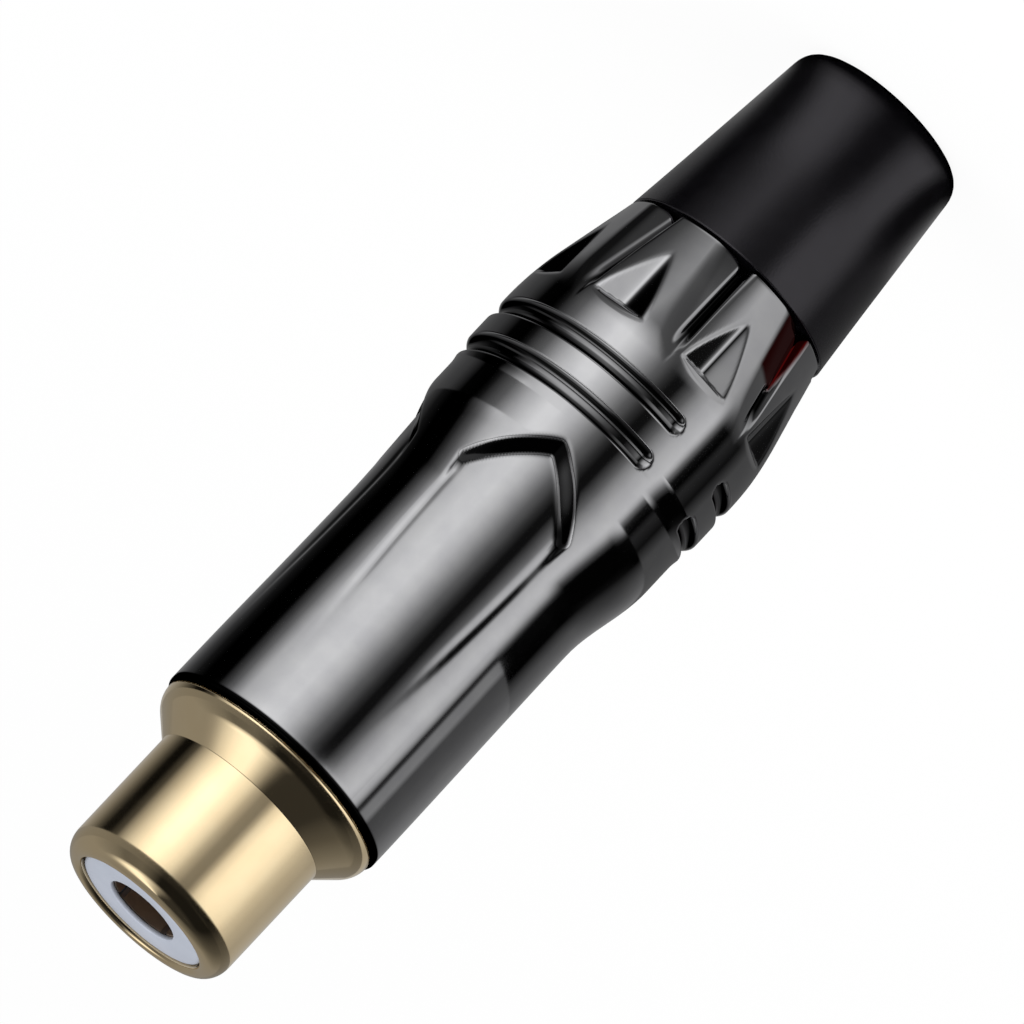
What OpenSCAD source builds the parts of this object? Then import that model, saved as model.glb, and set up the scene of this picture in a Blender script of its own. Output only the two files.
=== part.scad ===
// Inline RCA socket for a cable, at its real size in millimetres.
// It stands on the end face of its rubber boot, with the mouth up.
// The origin is the centre of that end face, and +Z points to the mouth.

/* [Barrel] */
// Outside diameter of the barrel that a plug slides over
barrel_d = 8.3; // [8:0.05:8.6]
// Length of the barrel from its mouth to the nose of the flange
barrel_len = 6.2; // [5:0.05:9]
// Radius of the round rim at the mouth
mouth_round = 0.75; // [0.2:0.05:0.8]
// Diameter of the hole in the mouth
mouth_bore_d = 6.36; // [6:0.02:6.6]
// Chamfer inside the mouth
mouth_chamfer = 0.12; // [0.05:0.01:0.2]

/* [Flange] */
// Diameter of the flange
flange_d = 10.9; // [10:0.05:11.3]
// Length of the curved nose in front of the rim
nose_len = 1.3; // [0.8:0.05:2]
// Length of the straight rim
rim_len = 0.53; // [0.4:0.01:2]
// Chamfer on the edges of the rim
rim_chamfer = 0.12; // [0.05:0.01:0.2]

/* [Neck] */
// Outside diameter of the screwed neck behind the flange
neck_d = 9.1; // [8.9:0.05:9.4]
// Length of the neck
neck_len = 8.2; // [7:0.1:10]
// Length of the relief between the thread and the flange
relief_len = 0.9; // [0.5:0.1:1.5]
// Depth of that relief
relief_depth = 0.3; // [0.1:0.05:0.4]
// Diameter of the seat for the insulators, bored from the back
seat_d = 7.2; // [7:0.05:7.4]
// Distance from the mouth to the shoulder of that seat
seat_depth = 7.6; // [7:0.1:8.5]

/* [Insulators] */
// Distance from the mouth to the insulator's face
face_recess = 0.23; // [0.1:0.01:0.6]
// Diameter of the hole for the plug's pin
pin_hole_d = 3.36; // [3.3:0.02:3.6]
// Length of the lip round that hole
lip_len = 0.2; // [0.2:0.05:1.5]
// Chamfer round the insulator's face
face_chamfer = 0.2; // [0.05:0.01:0.3]
// Length of the collar that rests on the seat's shoulder
collar_len = 2.4; // [2:0.1:3]
// Length of the rear insulator
rear_insulator_len = 4.6; // [3:0.1:5]
// Gap between pieces that are pressed or dropped together
fit_gap = 0.02; // [0.01:0.005:0.04]

/* [Centre contact] */
// Inside diameter of the contact, for a 3.2 mm pin
contact_bore_d = 3.22; // [3.2:0.01:3.26]
// Wall of the contact's spring tube
contact_wall = 0.3; // [0.2:0.01:0.35]
// Depth of the hole for the pin
contact_bore_len = 6.4; // [5.5:0.1:7]
// Width of the slits between its leaves
slit_w = 0.35; // [0.2:0.05:0.5]
// Length of the slits
slit_len = 4.8; // [3:0.1:5]
// Number of leaves
leaves = 4; // [3:1:6]
// Room round the spring tube, for its leaves to open
leaf_room = 0.16; // [0.1:0.01:0.25]
// Diameter of the collar that holds the contact between the insulators
contact_collar_d = 5.2; // [4.8:0.1:5.6]
// Length of that collar
contact_collar_len = 0.7; // [0.4:0.05:1]
// Diameter of the tail
tail_d = 2.4; // [2.2:0.05:2.8]
// Length of the tail behind the rear insulator
tail_len = 4.2; // [3:0.1:5]
// Diameter of the solder cup's hole
cup_d = 1.5; // [1.2:0.05:1.7]
// Length of the solder cup
cup_len = 2.8; // [2:0.1:3]

/* [Ground tag] */
// Thickness of the sheet
tag_t = 0.5; // [0.3:0.05:0.6]
// Width of the tongue
tongue_w = 2.6; // [2:0.1:3.2]
// Diameter of the hole in the tag's ring
tag_hole_d = 4.4; // [4:0.1:4.8]
// Inside diameter of the cable claws
claw_d = 6.1; // [6:0.05:6.4]
// Length of the claws along the cable
claw_len = 3.4; // [2:0.1:4.5]
// Angle that each claw covers, counted from the tongue
claw_arc = 118; // [80:1:135]
// Distance from the neck to the claws
claw_drop = 8.0; // [6.5:0.1:9]
// Diameter of the hole in the tongue for the shield's wires
lug_hole_d = 1.2; // [0.8:0.1:1.5]

/* [Insulating sleeve] */
// Wall of the sleeve inside the shell
sleeve_t = 0.3; // [0.2:0.02:0.36]
// Gap between the sleeve and the boot's lip
sleeve_gap = 2.3; // [0.5:0.1:5]

/* [Shell] */
// Length of the shell
shell_len = 28.0; // [27.5:0.1:32]
// Diameter at the front
front_d = 11.16; // [11.1:0.02:11.8]
// Diameter of the waist
waist_d = 10.98; // [10.9:0.02:11.3]
// Length of the flare behind the waist
flare_len = 4.2; // [3.5:0.1:5]
// Diameter of the shoulder where the flare ends
shoulder_d = 12.18; // [11.9:0.02:12.4]
// Length of that level shoulder
shoulder_len = 1.5; // [0.5:0.1:1.8]
// Length of the step from that shoulder to the grip
step_len = 1.1; // [0.8:0.1:1.4]
// Diameter of the grip
grip_d = 12.54; // [12.4:0.02:12.8]
// Length of the grip
grip_len = 2.4; // [2:0.1:4]
// Length of the rear taper
taper_len = 6.6; // [6:0.1:7.5]
// Length of the bend into the rear taper
bend_len = 3.0; // [1:0.1:4]
// Diameter of the rear end
rear_d = 10.3; // [10.2:0.02:10.5]
// Radius of the round front edge
front_round = 0.2; // [0.05:0.01:0.3]
// Gap between the shell and the flange
front_gap = 0.08; // [0.05:0.01:0.2]
// Inside diameter of the main cavity
cavity_d = 9.5; // [9.45:0.01:9.6]
// Length of the screwed stretch inside the front
screw_len = 6.2; // [5:0.1:7]
// Thickness of the rear wall that the boot snaps into
rear_wall = 1.9; // [1.5:0.1:2.4]
// Diameter of the hole in the rear wall
rear_hole_d = 8.4; // [8.2:0.05:8.5]
// Running gap round the neck and round the boot
run_gap = 0.05; // [0.03:0.01:0.08]

/* [Grip grooves] */
// Distance of the first groove in front of the grip
groove_set = 0.25; // [0.2:0.05:0.6]
// Distance between the grooves
groove_pitch = 2.0; // [1.8:0.05:2.1]
// Radius of the groove's section
groove_r = 0.57; // [0.45:0.01:0.65]
// Depth of the groove under the grip
groove_depth = 0.3; // [0.15:0.01:0.35]
// Angle of the plain bridge between the ends of a groove
bridge_arc = 30; // [20:1:45]

/* [Panels] */
// Distance of the panel's tip in front of the shoulder
tip_set = 0.95; // [0.8:0.05:1.4]
// Length of the panel's point, from its corners to its tip
point_len = 2.8; // [2:0.05:3]
// Half the angle of the panel's floor
floor_half = 23; // [22:0.1:26]
// Half the angle between the panel's edges
edge_half = 29.4; // [28:0.1:32]
// Depth of the panel at the waist
panel_depth = 0.12; // [0.08:0.01:0.2]
// Radius by which the floor rises at the tip
floor_rise = 0.2; // [0.05:0.01:0.25]
// Distance from the shell's front to where the panel fades in
fade_pos = 2.2; // [1.5:0.1:4]
// Distance from the shell's front to where the panel has its full depth
full_pos = 9.5; // [7:0.1:10.5]
// Slope of the wall at the tip, in degrees
tip_slope = 36; // [25:1:45]

/* [Petals] */
// Number of petals round the rear taper
petals = 8; // [6:1:9]
// Angle by which the valleys are turned from the panel's middle
valley_turn = 5.9; // [0:0.1:10]
// Depth of the valleys at the rear end
valley_depth = 0.4; // [0.2:0.02:0.5]
// Slope of the valley's wide side
wide_slope = 17; // [14:1:25]
// Slope of the valley's narrow side
narrow_slope = 50; // [30:1:60]
// Distance of the recesses behind the grip
recess_set = 1.3; // [0.8:0.05:1.6]
// Depth of the recesses at their front
recess_depth = 0.67; // [0.4:0.01:0.75]
// Half width of the recesses at their front
recess_half = 1.4; // [1:0.05:1.5]
// Slope of the recess's front wall
recess_slope = 48; // [40:1:70]
// Length of the notch between the ends of two petals
notch_len = 0.55; // [0.3:0.05:0.8]
// Width of that notch
notch_w = 1.0; // [0.6:0.05:1.3]
// Depth of that notch under the valley
notch_depth = 0.15; // [0.05:0.05:0.2]

/* [Boot] */
// Length of the boot outside the shell
boot_len = 9.9; // [9:0.1:14]
// Diameter at the shell
boot_d = 10.3; // [10:0.02:10.8]
// Diameter where its slope changes
boot_mid_d = 9.72; // [9.5:0.02:10]
// Distance from the shell to that place
boot_mid = 2.7; // [2:0.1:4]
// Diameter at the end
boot_end_d = 8.32; // [8:0.02:9]
// Radius of the round edge at the end
boot_round = 0.9; // [0.2:0.05:1]
// Diameter of the hole for the cable
cable_d = 5.9; // [5.6:0.05:6]
// Gap between the boot and the shell's rear end
seam_gap = 0.1; // [0.05:0.01:0.2]
// Length of the lip that holds the boot inside the shell
lip_t = 1.4; // [1:0.1:2]
// Chamfer on that lip
lip_chamfer = 0.2; // [0.1:0.05:0.4]

/* [Hidden] */

$fn = 96;
// How far a cutter stands out beyond the surface it cuts, and the height of a slanted one
bite = 0.5;
high = 2;
// How deep the tag's flat tongue sinks into its round claws
tongue_sink = 0.15;
gold = [0.93, 0.80, 0.52];
brass = [0.80, 0.66, 0.36];
black_chrome = [0.27, 0.27, 0.29];
charcoal = [0.11, 0.11, 0.13];
nylon = [0.80, 0.82, 0.86];
clear_grey = [0.62, 0.62, 0.60];

shell_rear = boot_len + seam_gap;
shell_front = shell_rear + shell_len;
flange_back = shell_front + front_gap;
rim_front = flange_back + rim_len;
barrel_foot = rim_front + nose_len;
mouth = barrel_foot + barrel_len;
neck_back = flange_back - neck_len;

seat = mouth - seat_depth;
face = mouth - face_recess;
insulator_back = seat - collar_len;
contact_collar_front = insulator_back + contact_collar_len;
contact_r = contact_bore_d / 2 + contact_wall;
contact_tip = face - lip_len - 2 * fit_gap;
rear_insulator_back = insulator_back - fit_gap - rear_insulator_len;
tail_end = rear_insulator_back - tail_len;
tag_front = rear_insulator_back - fit_gap;
claw_front = neck_back - claw_drop;
claw_r = claw_d / 2;
boot_top = shell_rear + rear_wall + run_gap + lip_t;
sleeve_front = neck_back - fit_gap;
sleeve_len = sleeve_front - boot_top - sleeve_gap;
sleeve_r = neck_d / 2 - run_gap;

grip_end = shell_len - taper_len;
grip_pos = grip_end - grip_len;
shoulder_pos = grip_pos - step_len;
waist_pos = shoulder_pos - shoulder_len - flare_len;
groove_pos = grip_pos - groove_set;
tip_pos = shoulder_pos - tip_set;
corner_pos = tip_pos - point_len;
recess_pos = grip_end + recess_set;
grip_r = grip_d / 2;
groove_center = grip_r - groove_depth + groove_r;
panel_turns = [0, 90, 180];
bridge_turns = [-47, 133];
petal_pitch = 360 / petals;
waist_floor = waist_d / 2 - panel_depth;

// A blend that starts and ends level, from 0 to 1.
function ease(x) = let (c = min(max(x, 0), 1)) c * c * (3 - 2 * c);
// Slope of the straight taper, from the bend to the rear end.
taper_slope = (grip_r - rear_d / 2) / (taper_len - bend_len / 2);
// A radius that goes from one diameter to another over a length.
function between(d0, d1, u, length) = d0 / 2 + (d1 - d0) / 2 * ease(u / length);
// Outside radius of the plain shell, at a distance from its front.
function shell_r(u) =
    u < waist_pos ? between(front_d, waist_d, u, waist_pos) :
    u < shoulder_pos ? between(waist_d, shoulder_d, u - waist_pos, flare_len) :
    u < grip_end ? between(shoulder_d, grip_d, u - shoulder_pos, step_len) :
    u < grip_end + bend_len ? grip_r - taper_slope * (u - grip_end) * (u - grip_end) / (2 * bend_len) :
    rear_d / 2 + taper_slope * (shell_len - u);
// Radius at the bottom of the recesses in the petals.
recess_floor = shell_r(recess_pos) - recess_depth;
// Distances from u0 to u1 in n equal steps.
function steps(u0, u1, n) = [for (i = [0:n]) u0 + (u1 - u0) * i / n];
// Points on an arc about a centre, from angle a0 to angle a1 in n steps.
function arc(c, r, a0, a1, n) = [for (a = steps(a0, a1, n)) c + r * [cos(a), sin(a)]];

// Turns a feature made on the panel's side, at -Y, to its place round the axis.
module around(turn) {
    rotate([0, 0, turn]) children();
}

// A solid of an outline of distance from the shell's front and radius, as wide as given.
module side_slice(outline, width) {
    rotate([90, 0, -90])
        linear_extrude(width, center = true)
            polygon([for (p = outline) [p[1], shell_front - p[0]]]);
}

module jack_barrel() {
    neck_r = neck_d / 2;
    barrel_r = barrel_d / 2;
    flange_r = flange_d / 2;
    color(gold)
    rotate_extrude()
        polygon(concat(
            [[mouth_bore_d / 2, seat], [mouth_bore_d / 2, mouth - mouth_round / 2 - mouth_chamfer]],
            [[mouth_bore_d / 2 + mouth_chamfer, mouth - mouth_round / 2 + mouth_chamfer / 2]],
            [[barrel_r - mouth_round, mouth]],
            arc([barrel_r - mouth_round, mouth - mouth_round], mouth_round, 75, 0, 5),
            [for (x = steps(0, nose_len, 10))
                [between(barrel_d, flange_d, x, nose_len), barrel_foot - x]],
            [[flange_r, flange_back + rim_chamfer]],
            [[flange_r - rim_chamfer, flange_back], [neck_r - relief_depth, flange_back]],
            [[neck_r - relief_depth, flange_back - relief_len + relief_depth]],
            [[neck_r, flange_back - relief_len], [neck_r, neck_back + relief_depth]],
            [[neck_r - relief_depth, neck_back], [seat_d / 2, neck_back], [seat_d / 2, seat]]
        ));
}

module front_insulator() {
    color(nylon)
    rotate_extrude()
        polygon([
            [pin_hole_d / 2, face - face_chamfer / 3],
            [pin_hole_d / 2 + face_chamfer / 3, face],
            [mouth_bore_d / 2 - fit_gap - face_chamfer, face],
            [mouth_bore_d / 2 - fit_gap, face - face_chamfer],
            [mouth_bore_d / 2 - fit_gap, seat - fit_gap],
            [seat_d / 2 - fit_gap, seat - fit_gap],
            [seat_d / 2 - fit_gap, insulator_back],
            [contact_collar_d / 2 + fit_gap, insulator_back],
            [contact_collar_d / 2 + fit_gap, contact_collar_front + fit_gap],
            [contact_r + leaf_room, contact_collar_front + fit_gap],
            [contact_r + leaf_room, face - lip_len],
            [pin_hole_d / 2, face - lip_len]
        ]);
}

module rear_insulator() {
    color(nylon)
    translate([0, 0, rear_insulator_back])
    difference() {
        cylinder(d = seat_d - 2 * fit_gap, h = rear_insulator_len);
        translate([0, 0, -bite])
            cylinder(d = tail_d + 2 * fit_gap, h = rear_insulator_len + 2 * bite);
    }
}

module centre_contact() {
    color(brass)
    difference() {
        union() {
            translate([0, 0, insulator_back])
                cylinder(r = contact_r, h = contact_tip - insulator_back);
            translate([0, 0, insulator_back])
                cylinder(d = contact_collar_d, h = contact_collar_len);
            translate([0, 0, tail_end])
                cylinder(d = tail_d, h = insulator_back - tail_end + bite / 2);
        }
        translate([0, 0, contact_tip - contact_bore_len])
            cylinder(d = contact_bore_d, h = contact_bore_len + bite);
        for (i = [0:leaves - 1])
            around(360 / leaves * (i + 0.5))
                translate([-slit_w / 2, contact_bore_d / 4, contact_tip - slit_len])
                    cube([slit_w, contact_r, slit_len + bite]);
        translate([0, 0, tail_end - bite])
            cylinder(d = cup_d, h = cup_len + bite);
        translate([0, -tail_d, tail_end - bite])
            cube([tail_d, 2 * tail_d, cup_len - cup_d / 2 + bite]);
    }
}

module ground_tag() {
    ring_r = seat_d / 2 - fit_gap;
    tongue_out = claw_r + tag_t;
    color(brass)
    difference() {
        union() {
            translate([0, 0, tag_front - tag_t])
                cylinder(r = ring_r, h = tag_t);
            translate([-tongue_w / 2, claw_r - tongue_sink, claw_front - claw_len])
                cube([tongue_w, tag_t, tag_front - claw_front + claw_len - tag_t / 2]);
            intersection() {
                translate([0, 0, claw_front - claw_len])
                    difference() {
                        cylinder(r = tongue_out, h = claw_len);
                        translate([0, 0, -bite])
                            cylinder(r = claw_r, h = claw_len + 2 * bite);
                    }
                translate([0, 0, claw_front - claw_len - bite])
                    rotate([0, 0, 90 - claw_arc])
                        rotate_extrude(angle = 2 * claw_arc)
                            square([2 * tongue_out, claw_len + 2 * bite]);
            }
        }
        translate([0, 0, tag_front - tag_t - bite])
            cylinder(d = tag_hole_d, h = tag_t + 2 * bite);
        translate([0, 0, (neck_back + claw_front) / 2])
            rotate([-90, 0, 0])
                cylinder(d = lug_hole_d, h = 2 * tongue_out);
    }
}

module insulating_sleeve() {
    color(clear_grey)
    translate([0, 0, sleeve_front - sleeve_len])
    difference() {
        cylinder(r = sleeve_r, h = sleeve_len);
        translate([0, 0, -bite])
            cylinder(r = sleeve_r - sleeve_t, h = sleeve_len + 2 * bite);
    }
}

// The plain turned form of the shell, with its cavity.
module shell_blank() {
    screw_r = neck_d / 2 + run_gap;
    outside = concat(
        steps(front_round, waist_pos, 6),
        steps(waist_pos, waist_pos + flare_len, 10),
        steps(shoulder_pos, grip_pos, 4),
        steps(grip_end, grip_end + bend_len, 5),
        [shell_len]
    );
    rotate_extrude()
        polygon(concat(
            arc([front_d / 2 - front_round, shell_front - front_round], front_round, 90, 0, 4),
            [for (u = outside) [shell_r(u), shell_front - u]],
            [[rear_hole_d / 2, shell_rear], [rear_hole_d / 2, shell_rear + rear_wall]],
            [[cavity_d / 2, shell_rear + rear_wall]],
            [[cavity_d / 2, shell_front - screw_len - relief_depth]],
            [[screw_r, shell_front - screw_len], [screw_r, shell_front]]
        ));
}

// One ring groove, cut as two arcs with a plain bridge between their ends.
module groove(pos) {
    arc_len = 180 - bridge_arc;
    for (turn = bridge_turns)
        translate([0, 0, shell_front - pos])
            rotate([0, 0, turn - 90 + bridge_arc / 2])
                rotate_extrude(angle = arc_len)
                    translate([groove_center, 0])
                        circle(r = groove_r, $fn = 32);
}

// The shallow bullet-shaped recess, whose floor fades into the front.
module panel() {
    out = grip_r + bite;
    floor_y = waist_floor * cos(floor_half);
    floor_x = waist_floor * sin(floor_half);
    edge_y = waist_d / 2 * cos(edge_half);
    edge_x = waist_d / 2 * sin(edge_half);
    fall = (floor_y - edge_y) / (edge_x - floor_x);
    tip_run = (shell_r(tip_pos) - waist_floor - floor_rise) / tan(tip_slope);
    chevron = atan((tip_pos - corner_pos) / edge_x);
    intersection() {
        rotate_extrude()
            polygon([
                [front_d / 2 + fit_gap, shell_front - fade_pos],
                [waist_floor, shell_front - full_pos],
                [waist_floor, shell_front - waist_pos],
                [waist_floor + floor_rise, shell_front - tip_pos],
                [out, shell_front - tip_pos - bite],
                [out, shell_front - fade_pos]
            ]);
        translate([0, 0, shell_rear])
            linear_extrude(shell_len)
                polygon([
                    [-out, -floor_y + fall * (out - floor_x)], [-floor_x, -floor_y],
                    [floor_x, -floor_y], [out, -floor_y + fall * (out - floor_x)],
                    [out, -2 * out], [-out, -2 * out]
                ]);
        chevron_walls(chevron, tip_run);
    }
}

// The two sloped walls that meet at the panel's tip.
module chevron_walls(chevron, tip_run) {
    floor_r = waist_floor + floor_rise;
    intersection() {
        chevron_wall(chevron, tip_run, floor_r);
        mirror([1, 0, 0]) chevron_wall(chevron, tip_run, floor_r);
    }
}

module chevron_wall(chevron, tip_run, floor_r) {
    run = high / tan(tip_slope);
    far = 2 * shell_len;
    translate([0, 0, shell_front - tip_pos + tip_run])
        rotate([0, chevron, 0])
            rotate([90, 0, -90])
                linear_extrude(far, center = true)
                    polygon([[floor_r - high, run], [floor_r + high, -run], [floor_r + high, far],
                             [floor_r - high, far]]);
}

// A triangular recess in a petal: a V along the axis that runs out on the taper.
module recess() {
    rise = recess_depth / recess_half;
    wide = 2 * recess_half;
    out = grip_r + bite;
    front_r = shell_r(recess_pos);
    inner_r = recess_floor - bite;
    intersection() {
        translate([0, 0, shell_rear - bite])
            linear_extrude(shell_len)
                polygon([[-wide, -recess_floor - wide * rise], [0, -recess_floor],
                         [wide, -recess_floor - wide * rise]]);
        side_slice([
            [recess_pos - (out - front_r) / tan(recess_slope), out],
            [recess_pos + (front_r - inner_r) / tan(recess_slope), inner_r],
            [shell_len, inner_r],
            [shell_len, out]
        ], 2 * wide);
    }
}

// The valley between two petals, with one narrow and one wide side.
module valley() {
    start = grip_end + bend_len / 2;
    start_r = shell_r(start);
    end_r = rear_d / 2 - valley_depth;
    run = shell_len - start;
    tilt = atan((start_r - end_r) / run);
    translate([0, -start_r, shell_front - start])
        rotate([180 + tilt, 0, 0])
            linear_extrude(run + 2 * bite)
                polygon([[0, 0], [high / tan(wide_slope), high], [-high / tan(narrow_slope), high]]);
}

// The notch between the ends of two petals.
module notch() {
    spread = notch_w / notch_len / 2 * (notch_len + bite);
    translate([0, valley_depth + notch_depth - rear_d / 2, shell_rear])
        rotate([90, 0, 0])
            linear_extrude(2 * valley_depth + notch_depth)
                polygon([[-spread, -bite], [0, notch_len], [spread, -bite]]);
}

module shell() {
    color(black_chrome)
    difference() {
        shell_blank();
        for (i = [0:1])
            groove(groove_pos + i * groove_pitch);
        for (turn = panel_turns)
            around(turn) panel();
        for (i = [0:petals - 1]) {
            around(petal_pitch * (i + 0.5)) recess();
            around(petal_pitch * i - valley_turn) {
                valley();
                notch();
            }
        }
    }
}

module boot() {
    inner_r = rear_hole_d / 2 - run_gap;
    holder_r = cavity_d / 2 - run_gap;
    holder_foot = boot_top - lip_t;
    end_r = boot_end_d / 2;
    color(charcoal)
    rotate_extrude()
        polygon(concat(
            [[cable_d / 2, 0]],
            arc([end_r - boot_round, boot_round], boot_round, -90, 0, 6),
            [[boot_mid_d / 2, boot_len - boot_mid], [boot_d / 2, boot_len]],
            [[inner_r, boot_len], [inner_r, holder_foot], [holder_r, holder_foot]],
            [[holder_r, boot_top - lip_chamfer], [holder_r - lip_chamfer, boot_top]],
            [[cable_d / 2, boot_top]]
        ));
}

jack_barrel();
front_insulator();
rear_insulator();
centre_contact();
ground_tag();
insulating_sleeve();
shell();
boot();
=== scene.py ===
"""Looks of an inline RCA socket: plated barrel, black chrome shell, rubber boot and a plain studio."""

import math

import bpy
import numpy as np
from mathutils import Matrix, Vector


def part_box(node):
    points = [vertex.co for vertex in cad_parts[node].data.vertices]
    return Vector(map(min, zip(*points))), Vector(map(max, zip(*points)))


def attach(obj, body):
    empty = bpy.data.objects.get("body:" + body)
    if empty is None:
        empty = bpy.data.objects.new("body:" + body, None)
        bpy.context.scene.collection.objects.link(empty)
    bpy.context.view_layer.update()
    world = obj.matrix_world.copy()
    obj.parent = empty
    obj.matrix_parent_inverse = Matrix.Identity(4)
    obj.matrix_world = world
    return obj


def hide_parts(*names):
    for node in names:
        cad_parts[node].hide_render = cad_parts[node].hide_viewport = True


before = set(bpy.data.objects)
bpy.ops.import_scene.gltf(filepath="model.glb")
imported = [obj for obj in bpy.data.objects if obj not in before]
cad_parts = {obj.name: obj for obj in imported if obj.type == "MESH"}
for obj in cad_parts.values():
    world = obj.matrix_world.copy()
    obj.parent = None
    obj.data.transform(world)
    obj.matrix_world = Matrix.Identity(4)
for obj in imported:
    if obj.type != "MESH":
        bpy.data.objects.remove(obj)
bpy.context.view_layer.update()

MM = 0.001
IMAGE_SIZE = 1024

# Places along the axis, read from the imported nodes, in millimetres
shell_low, shell_high = (corner.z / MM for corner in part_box("shell"))
jack_low, jack_high = (corner.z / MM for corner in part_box("jack_barrel"))
boot_low, boot_high = (corner.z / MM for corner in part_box("boot"))
insulator_low, insulator_high = (corner.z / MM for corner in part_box("front_insulator"))

# The shell's outside, as distances from its front face and radii
SHELL_LEN = shell_high - shell_low
TAPER_LEN = 6.6
BEND_LEN = 3.0
GRIP_LEN = 2.4
STEP_LEN = 1.1
SHOULDER_LEN = 1.5
FLARE_LEN = 4.2
GRIP_END = SHELL_LEN - TAPER_LEN
GRIP_POS = GRIP_END - GRIP_LEN
SHOULDER_POS = GRIP_POS - STEP_LEN
WAIST_POS = SHOULDER_POS - SHOULDER_LEN - FLARE_LEN
FRONT_R = 5.58
WAIST_R = 5.49
SHOULDER_R = 6.09
GRIP_R = 6.27
REAR_R = 5.15
TAPER_SLOPE = (GRIP_R - REAR_R) / (TAPER_LEN - BEND_LEN / 2)
SOFTNESS = 0.09
FRONT_ROUND = 0.15
REAR_ROUND = 0.12

# The ring grooves
GROOVE_BACK = 0.21
GROOVE_PITCH = 2.0
GROOVES = (GRIP_POS - GROOVE_BACK, GRIP_POS - GROOVE_BACK + GROOVE_PITCH)
GROOVE_HALF = 0.46
GROOVE_DEPTH = 0.3
GROOVE_EASE = 0.03
BRIDGES = (46.0, 226.0)
BRIDGE_HALF = 16.0

# The bullet-shaped panels: their outline, their floor, the faint gutter in it and their sloped walls
PANELS = (0.0, 180.0, 270.0)
PANEL_START = 2.4
PANEL_FULL = 8.0
PANEL_TIP_BACK = 0.85
PANEL_TIP = SHOULDER_POS - PANEL_TIP_BACK
PANEL_HALF = 2.93
PANEL_NARROW = 0.7
PANEL_NARROW_BEND = 1.5
POINT_LEN = 2.7
POINT_BEND = 1.32
POINT_HALF = 2.72
FLOOR_DEPTH = 0.02
FLOOR_CURVE_R = 5.4
FLOOR_HOLD = 1.0
FLOOR_SLOPE = 0.042
FLOOR_SLOPE_START = 0.6
FLOOR_SLOPE_EASE = 0.5
FLOOR_TURN = 40.0
GUTTER_DEPTH = 0.038
GUTTER_POS = 0.18
GUTTER_WIDTH = 0.45
GUTTER_START = 4.6
GUTTER_END = 1.5
WALL_SIDE = 0.26
WALL_TIP = 0.55
WALL_APEX = 0.3
WALL_EASE = 0.22
WALL_CORNER = 0.12

# The petals: the valleys between them, the seams in the valleys, cut and darkened with painted shade, and
# the notches at their ends
PETALS = 8
PITCH = 360.0 / PETALS
VALLEY_POS = GRIP_END + BEND_LEN / 2
VALLEY_TURN = 6.7
VALLEY_DEPTH = 0.4
VALLEY_EASE = 0.02
VALLEY_EDGE_EASE = 0.16
WIDE_SLOPE = 7.0
NARROW_SLOPE = 50.0
SEAM_WIDE = 0.36
SEAM_NARROW = 0.22
SEAM_DEPTH = 0.16
SEAM_SHARP = 1.6
SEAM_FADE = 1.2
NOTCH_DEEP = 0.8
NOTCH_WIDE = 0.95
NOTCH_NARROW = 0.35
NOTCH_FADE = 1.6

# The triangular recesses in the petals
RECESS_BACK = 1.3
RECESS_POS = GRIP_END + RECESS_BACK
RECESS_DEPTH = 0.67
RECESS_HALF = 1.6
RECESS_EASE = 0.05
RIDGE_EASE = 0.022
SHELF_LEN = 0.32
SHELF_SLOPE = 32.0
STEEP_SLOPE = 68.0

# Keeps the formulas of the valleys and recesses from dividing by nothing far away from them
LEAST_SHARE = 0.2

# The painted channel mark
MARK_TURN = 45.6
MARK_HALF = 7.6
MARK_WIDEN = 1.2
MARK_START = 25.05
MARK_SLANT = 0.03
MARK_END_FADE = 0.3
MARK_SIDE_FADE = 1.6

# Painted shade at the shell's front edge, in its ring grooves and on the walls at the panels' points,
# as shares, and places in millimetres, or in widths of the wall at a point
EDGE_SHADE = 0.3
EDGE_SHADE_FADE = 0.08
GROOVE_SHADE_DEPTH = 0.16
GROOVE_SHADE_MIDDLE = 0.4
GROOVE_SHADE_OFF = 0.05
GROOVE_SHADE_RISE = 1.3
POINT_SHADE = 0.97
POINT_SHADE_REACH = 0.66
POINT_SHADE_FADE = 0.25
POINT_SHADE_SIDE = (-0.05, 0.1)
POINT_SHADE_THIN = 0.5
POINT_SHADE_GAIN = 0.3
POINT_SHADE_RISE = 2.2
THIN_FROM = (0.3, 0.9)
THIN_TO = (1.8, 2.3)

# The shell's inside
REAR_HOLE_R = 4.2
REAR_WALL = 1.9
REAR_CHAMFER = 0.1
CAVITY_R = 4.75
SCREW_R = 4.6
SCREW_LEN = 6.2
SCREW_RUNOUT = 0.3
SCREW_CHAMFER = 0.15

# Spacing of the shell's rows, in millimetres, and columns, in degrees, round its fine forms
ROW_MARGIN = 0.6
EDGE_MARGIN = 0.05
RECESS_MARGIN = 0.4
VALLEY_NEAR = 3.0
RECESS_NEAR = 1.5

# Camera: how the photograph sees the socket
CAMERA_DISTANCE = 1.4
SENSOR_WIDTH = 36.0
CAMERA_TILT = 16.0
CAMERA_TURN = 5.0
CAMERA_ROLL = -136.83
PIXELS_PER_MM = 24.6
AXIS_MIDDLE = (512.65, 515.6)


def ease(x):
    """A blend from 0 to 1 that starts and ends level."""
    c = np.clip(x, 0.0, 1.0)
    return c * c * (3.0 - 2.0 * c)


def rise(x, start, end):
    """A blend from 0 at start to 1 at end."""
    return ease((x - start) / (end - start))


def soft_min(a, b, k):
    """The lower of two heights, with the corner between them rounded over k."""
    h = np.clip(0.5 + 0.5 * (b - a) / k, 0.0, 1.0)
    return b + (a - b) * h - k * h * (1.0 - h)


def soft_max(a, b, k):
    """The higher of two heights, with the corner between them rounded over k."""
    return -soft_min(-a, -b, k)


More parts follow.
